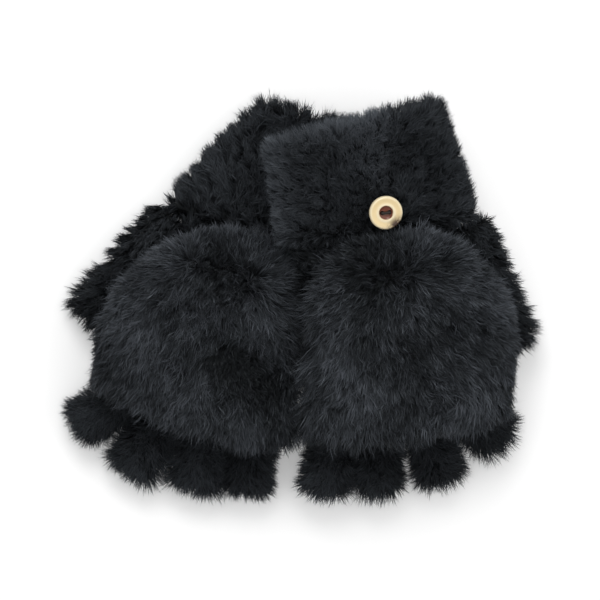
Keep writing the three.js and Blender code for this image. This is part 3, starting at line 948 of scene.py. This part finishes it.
def at_tip(sheet):
    """1 at the end of a sleeve that points ahead, falling to 0 a little way back."""
    return np.clip(1.0 - (sheet.ahead.max() - sheet.ahead) / SLEEVE_TIP, 0, 1)


def turned_to(sheet, facing):
    """More pile on the sides of a sleeve that face away from the thumb and to it."""
    away, towards = facing
    across = sheet.to_thumb
    return away * np.clip(-across, 0, 1) ** 2 + towards * np.clip(across, 0, 1) ** 2


SLEEVE_GROWTH = {"left": (1.0, 0.1), "right": (1.0, 0.45)}  # of the pile all over, and more at the tip
SLEEVE_PALENESS = {"left": 0.35, "right": 0.2}
INDEX_GROWTH = {"left": 1.0, "right": 1.35}
# Longer pile on the left sleeves where they face one another: away from the thumb, and to the thumb.
FACING_GROWTH = {
    "index": (0.25, 0.0), "middle": (0.7, 0.25), "ring": (0.65, 0.75), "little": (0.0, 0.65),
}


class MITTENS_OT_fingers(bpy.types.Operator):
    """The open finger sleeves"""

    bl_idname = "mittens.fingers"
    bl_label = "Fingers"

    def execute(self, context):
        for k, side in enumerate(SIDES):
            for n, finger in enumerate(FINGERS):
                full, tip = SLEEVE_GROWTH[side]
                full *= INDEX_GROWTH[side] if finger == "index" else 1.0
                facing = FACING_GROWTH[finger] if side == "left" else (0.0, 0.0)
                panel(
                    side, f"{finger}_finger", "finger", 10 * k + n, context.scene.mitten_velvet,
                    combed(ahead=0.3, outwards=0.35, half=0.05),
                    lambda sheet: full + tip * at_tip(sheet) + turned_to(sheet, facing),
                    pale=level(SLEEVE_PALENESS[side]),
                )
        return {"FINISHED"}


# Where the hoods' pile parts and swirls: millimetres across to the thumb and ahead of the seam, and
# how far the parting or the whorl reaches.
CROWNS = {"left": (6, -70, 14), "right": (2, -73, 7)}
WHORLS = {"left": (-18, -30, 12), "right": (25, -14, 17)}

# Where it is ruffled up and pale, or pressed down into dents and partings and dark: the same three,
# and how pale it is. The paleness is painted light where fringes and bulges catch the light, and
# painted shade in the dents.
RUFFLES_AND_PAINTED_LIGHT = {
    "left": (
        (37, -73, 9, 0.4), (25, -86, 9, 0.45), (10, -93, 8, 0.35), (12, -74, 7, -0.45),
        (2, -66, 7, -0.45), (-12, -28, 13, -0.85), (-33, -22, 8, -0.7), (27, -41, 7, -0.4),
        (7, -9, 18, 0.3), (-17, -50, 10, 0.3), (37, -40, 20, 0.35), (-20, -78, 8, 0.25),
        (-27, 0, 9, 0.25),
    ),
    "right": (
        (-1, -72, 10, -0.3), (-15, -65, 9, -0.25), (-8, -87, 14, -0.2), (22, -74, 7, -0.35),
        (24, -47, 10, -0.2), (17, -89, 8, 0.35), (32, -84, 10, 0.3), (12, -65, 6, 0.25),
        (29, -59, 8, 0.3), (49, -56, 10, 0.3), (-31, -36, 10, 0.3), (-25, -16, 8, 0.35),
        (29, -7, 11, 0.35),
    ),
}

# Each hood's panels, with the share of the strands and of their length that each one carries.
HOOD_PANELS = (("hood_palm", 1.0, 1.0), ("hood_back", 0.5, 0.55))


def ruffled_with_painted_light(sheet, side):
    """Painted light and shade on a hood's pile: pale where ruffled up and lit, dark where pressed down.
    """
    total = np.zeros(len(sheet.co))
    # each mark adds painted light (pale) or painted shade (dark) round its place
    for across, ahead, reach, pale in RUFFLES_AND_PAINTED_LIGHT[side]:
        gap = np.linalg.norm(sheet.place - np.array([across, ahead]) / 1000, axis=1)
        total += pale * np.exp(-((gap / (reach / 1000)) ** 2))
    return total


class MITTENS_OT_hoods(bpy.types.Operator):
    """Both panels of each hood, with dense underfur and long guard hairs"""

    bl_idname = "mittens.hoods"
    bl_label = "Hoods"

    def execute(self, context):
        for k, side in enumerate(SIDES):
            for n, (node, density, length) in enumerate(HOOD_PANELS):
                panel(
                    side, node, "hood", 10 * k + n, context.scene.mitten_under,
                    fanned(CROWNS[side], WHORLS[side], ahead=0.35),
                    lambda sheet: length * on_top(sheet, low=0.65) * (
                        1.0 + np.clip(0.9 * ruffled_with_painted_light(sheet, side), -0.45, 0.1)
                    ),
                    family=("hood_back", "hood_palm"), density=density,
                    guard=context.scene.mitten_guard,
                    # painted light on the hoods' lit fringes and bulges, painted shade in their dents
                    # and partings
                    pale=lambda sheet: 1.3 * ruffled_with_painted_light(sheet, side),
                )
        return {"FINISHED"}


# ---- Linings, seams, loops and buttons ----


def finished(name, node, kind, slot, body):
    """A small piece remade from its node, softened and with its own material."""
    piece = cloth(name, node, kind)
    piece.data.materials.append(materials[slot])
    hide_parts(node)
    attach(piece, body)


class MITTENS_OT_linings(bpy.types.Operator):
    """The fleece linings of hands and hoods"""

    bl_idname = "mittens.linings"
    bl_label = "Linings"

    def execute(self, context):
        for side in SIDES:
            for part, body in (("hand", "mitten"), ("hood", "hood")):
                node = f"{side}_{part}_lining"
                finished(f"{node}_fleece", node, "lining", "fleece", f"{side}_{body}")
        return {"FINISHED"}


class MITTENS_OT_seams(bpy.types.Operator):
    """The corded knuckle seams that the hoods turn on"""

    bl_idname = "mittens.seams"
    bl_label = "Knuckle Seams"

    def execute(self, context):
        for side in SIDES:
            node = f"{side}_knuckle_seam"
            finished(f"{node}_cord", node, "seam", "elastic", f"{side}_mitten")
        return {"FINISHED"}


class MITTENS_OT_loops(bpy.types.Operator):
    """The elastic loops"""

    bl_idname = "mittens.loops"
    bl_label = "Loops"

    def execute(self, context):
        for side in SIDES:
            node = f"{side}_loop"
            finished(f"{node}_cord", node, "loop", "elastic", f"{side}_loop")
        return {"FINISHED"}


BUTTON_PROFILE = (  # distance from the middle, as a share of the radius, and height, of the thickness
    (0.8, 0.0), (0.93, 0.1), (1.0, 0.35), (0.995, 0.6), (0.975, 0.8), (0.93, 0.94), (0.87, 0.98),
    (0.8, 0.93), (0.68, 0.85), (0.56, 0.84), (0.5, 0.89), (0.46, 0.89), (0.43, 0.82), (0.41, 0.62),
    (0.37, 0.5),
)
BUTTON_FACETS = 64
HOLE_FACETS = 24
HOLE_RADIUS = 0.00115
HOLE_PLACES = (-0.0018, 0.0018)  # across, from the middle
STAIN_TURN = math.radians(54)
STAIN_SPREAD = 0.5
SHARP_EDGE = math.radians(50)


def solid(name, made):
    """A bmesh as a mesh whose faces point outwards."""
    bmesh.ops.recalc_face_normals(made, faces=made.faces)
    mesh = bpy.data.meshes.new(name)
    made.to_mesh(mesh)
    made.free()
    return mesh


def button_blank(name, lay, node):
    """The button as a turned disc with a rounded rim, a dished face and a well, and two holes in it."""
    local = lay.local(points_of(frame["nodes"][node]))
    low, high = local.min(0), local.max(0)
    middle = 0.5 * (low + high)
    radius = 0.25 * (high[0] - low[0] + high[1] - low[1])
    thick = high[2] - low[2]
    made = bmesh.new()
    rings = []
    for share, height in BUTTON_PROFILE:
        rings.append([
            made.verts.new(lay.point(
                share * radius * math.cos(turn) + middle[0],
                share * radius * math.sin(turn) + middle[1], height * thick + low[2],
            ))
            for turn in (2 * math.pi * k / BUTTON_FACETS for k in range(BUTTON_FACETS))
        ])
    for a, b in zip(rings, rings[1:]):
        for k in range(BUTTON_FACETS):
            after = (k + 1) % BUTTON_FACETS
            made.faces.new((a[k], a[after], b[after], b[k]))
    made.faces.new(rings[0])
    made.faces.new(rings[-1])
    piece = placed(name, solid(name, made))
    drills = [drill(lay, middle, low[2], thick, place) for place in HOLE_PLACES]
    for tool in drills:
        cut = piece.modifiers.new("hole", "BOOLEAN")
        cut.object = tool
        cut.solver = "EXACT"
    applied(piece)
    for tool in drills:
        bpy.data.objects.remove(tool)
    return piece, middle, radius


def drill(lay, middle, low, thick, across):
    """A round bar through the button where a hole goes."""
    made = bmesh.new()
    bmesh.ops.create_cone(
        made, cap_ends=True, segments=HOLE_FACETS, radius1=HOLE_RADIUS, radius2=HOLE_RADIUS,
        depth=3 * thick,
    )
    for corner in made.verts:
        x, y, z = corner.co
        corner.co = lay.point(x + middle[0] + across, y + middle[1], z + low)
    return placed("drill", solid("drill", made))


class MITTENS_OT_buttons(bpy.types.Operator):
    """The buttons and the thread that holds them"""

    bl_idname = "mittens.buttons"
    bl_label = "Buttons"

    def execute(self, context):
        for side in SIDES:
            lay = Lay(side)
            piece, middle, radius = button_blank(f"{side}_button_horn", lay, f"{side}_button")
            mesh = piece.data
            gap = lay.local(points_of(mesh))[:, :2] - middle[:2]
            share = np.linalg.norm(gap, axis=1) / radius
            off = np.abs(np.arctan2(gap[:, 1], gap[:, 0]) - STAIN_TURN)
            store(mesh, "ring", share)
            spot = np.exp(-((off / STAIN_SPREAD) ** 2)) * np.clip((share - 0.45) / 0.4, 0, 1)
            store(mesh, "stain", np.clip(1.4 * spot, 0, 1))
            mesh.materials.append(materials["horn"])
            mesh.shade_smooth()
            mesh.set_sharp_from_angle(angle=SHARP_EDGE)
            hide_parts(f"{side}_button")
            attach(piece, f"{side}_mitten")
            finished(f"{side}_button_sewing", f"{side}_button_thread", "thread", "thread",
                     f"{side}_mitten")
        return {"FINISHED"}


# ---- Stage ----


FLOOR_REACH = 4.0
LAMPS = (("key", (-0.1, 0.85, 1.15), 0.6, 1.0), ("fill", (0.75, 0.1, 1.2), 1.2, 0.35))


class MITTENS_OT_stage(bpy.types.Operator):
    """Camera, lamps, floor and the pair's materials"""

    bl_idname = "mittens.stage"
    bl_label = "Stage"

    def execute(self, context):
        scene = context.scene
        stage, colours = scene.mitten_stage, scene.mitten_colours
        make_materials(colours)
        self.camera(scene, stage)
        self.floor(stage, colours)
        self.lamps(scene, stage)
        scene.view_settings.view_transform = "Standard"
        return {"FINISHED"}

    def camera(self, scene, stage):
        """A camera straight above the pair."""
        data = bpy.data.cameras.new("camera")
        data.sensor_width = 36.0
        middle = 0.5 * (CAD_BOX[0][2] + CAD_BOX[1][2])
        data.lens = data.sensor_width * (stage.camera_height - middle) / stage.view_width
        data.clip_end = 50.0
        camera = bpy.data.objects.new("camera", data)
        camera.location = (stage.aim_x, stage.aim_y, stage.camera_height)
        scene.collection.objects.link(camera)
        scene.camera = camera

    def floor(self, stage, colours):
        """A pale floor that the camera sees a little lighter than it is, down to the pair's shadow."""
        mesh = bpy.data.meshes.new("floor")
        far = FLOOR_REACH
        corners = [(-far, -far, 0), (far, -far, 0), (far, far, 0), (-far, far, 0)]
        mesh.from_pydata(corners, [], [(0, 1, 2, 3)])
        finish = Finish("floor", {
            "Base Color": (*colours.floor, 1.0), "Roughness": 0.9, "Specular IOR Level": 0.0,
            "Emission Color": WHITE,
        })
        seen = finish.node("ShaderNodeLightPath").outputs["Is Camera Ray"]
        finish.look({"Emission Strength": finish.math("MULTIPLY", seen, stage.floor_lift)})
        placed("floor", mesh, finish.material)

    def lamps(self, scene, stage):
        """An even sky that the camera sees white, and two soft lamps."""
        world = bpy.data.worlds.new("sky")
        scene.world = world
        world.use_nodes = True
        nodes = world.node_tree.nodes
        wiring = Wiring(world.node_tree)
        lit = nodes["Background"]
        wiring.feed(lit.inputs["Color"], WHITE)
        wiring.feed(lit.inputs["Strength"], stage.sky)
        white = wiring.out("ShaderNodeBackground", {"Color": WHITE})
        seen = wiring.node("ShaderNodeLightPath").outputs["Is Camera Ray"]
        mix = wiring.out("ShaderNodeMixShader", {0: seen, 1: lit.outputs[0], 2: white})
        wiring.feed(nodes["World Output"].inputs[0], mix)
        for name, place, size, share in LAMPS:
            data = bpy.data.lights.new(name, "AREA")
            data.energy = stage.lamp * share
            data.size = size
            lamp = bpy.data.objects.new(name, data)
            lamp.location = place
            lamp.rotation_euler = (-Vector(place)).to_track_quat("-Z", "Y").to_euler()
            scene.collection.objects.link(lamp)


class MITTENS_PT_panel(bpy.types.Panel):
    """Lists the steps that build the pair"""

    bl_idname = "MITTENS_PT_panel"
    bl_label = "Flip-Top Mittens"
    bl_space_type = "VIEW_3D"
    bl_region_type = "UI"
    bl_category = "Mittens"

    def draw(self, context):
        for step in STEPS:
            self.layout.operator(step.bl_idname)
        for group in GROUPS:
            settings = getattr(context.scene, group)
            for name in settings.bl_rna.properties.keys():
                if name not in ("name", "rna_type"):
                    self.layout.prop(settings, name)


STEPS = (
    MITTENS_OT_stage, MITTENS_OT_hands, MITTENS_OT_cuffs, MITTENS_OT_thumbs, MITTENS_OT_fingers,
    MITTENS_OT_hoods, MITTENS_OT_linings, MITTENS_OT_seams, MITTENS_OT_loops, MITTENS_OT_buttons,
)
CLASSES = (PileSettings, ColourSettings, StageSettings, *STEPS, MITTENS_PT_panel)

PILE_COLUMNS = (
    "length", "width", "density", "clump_spacing", "clump", "rise", "wave", "uneven", "whorls",
    "segments",
)
PILES = {
    # the hoods' underfur, and their guard hairs
    "mitten_under": (0.0072, 0.00045, 3.8, 0.0028, 0.75, 0.8, 0.0016, 0.6, 1.8, 2),
    "mitten_guard": (0.009, 0.00048, 2.3, 0.0034, 0.55, 0.75, 0.0026, 0.6, 1.8, 3),
    # the right cuff, the finger sleeves, the left cuff, and the hands with their thumbs
    "mitten_short": (0.0066, 0.00042, 4.6, 0.003, 0.45, 1.05, 0.0016, 0.9, 1.2, 2),
    "mitten_velvet": (0.0078, 0.00045, 4.4, 0.0024, 0.3, 1.3, 0.001, 0.5, 1.2, 2),
    "mitten_curly": (0.0088, 0.0006, 3.4, 0.0046, 0.75, 0.8, 0.0036, 1.0, 2.0, 2),
    "mitten_shaggy": (0.0078, 0.00054, 3.8, 0.0032, 0.52, 0.95, 0.0024, 0.75, 1.2, 2),
}
GROUPS = {
    **{name: PileSettings for name in PILES}, "mitten_colours": ColourSettings,
    "mitten_stage": StageSettings,
}


def register():
    for kind in CLASSES:
        bpy.utils.register_class(kind)
    for name, kind in GROUPS.items():
        setattr(bpy.types.Scene, name, PointerProperty(type=kind))


def unregister():
    for name in GROUPS:
        delattr(bpy.types.Scene, name)
    for kind in reversed(CLASSES):
        bpy.utils.unregister_class(kind)


def main():
    register()
    for group, values in PILES.items():
        for name, value in zip(PILE_COLUMNS, values):
            setattr(getattr(bpy.context.scene, group), name, value)
    for step in STEPS:
        group, name = step.bl_idname.split(".")
        getattr(getattr(bpy.ops, group), name)()


if __name__ == "__main__":
    main()
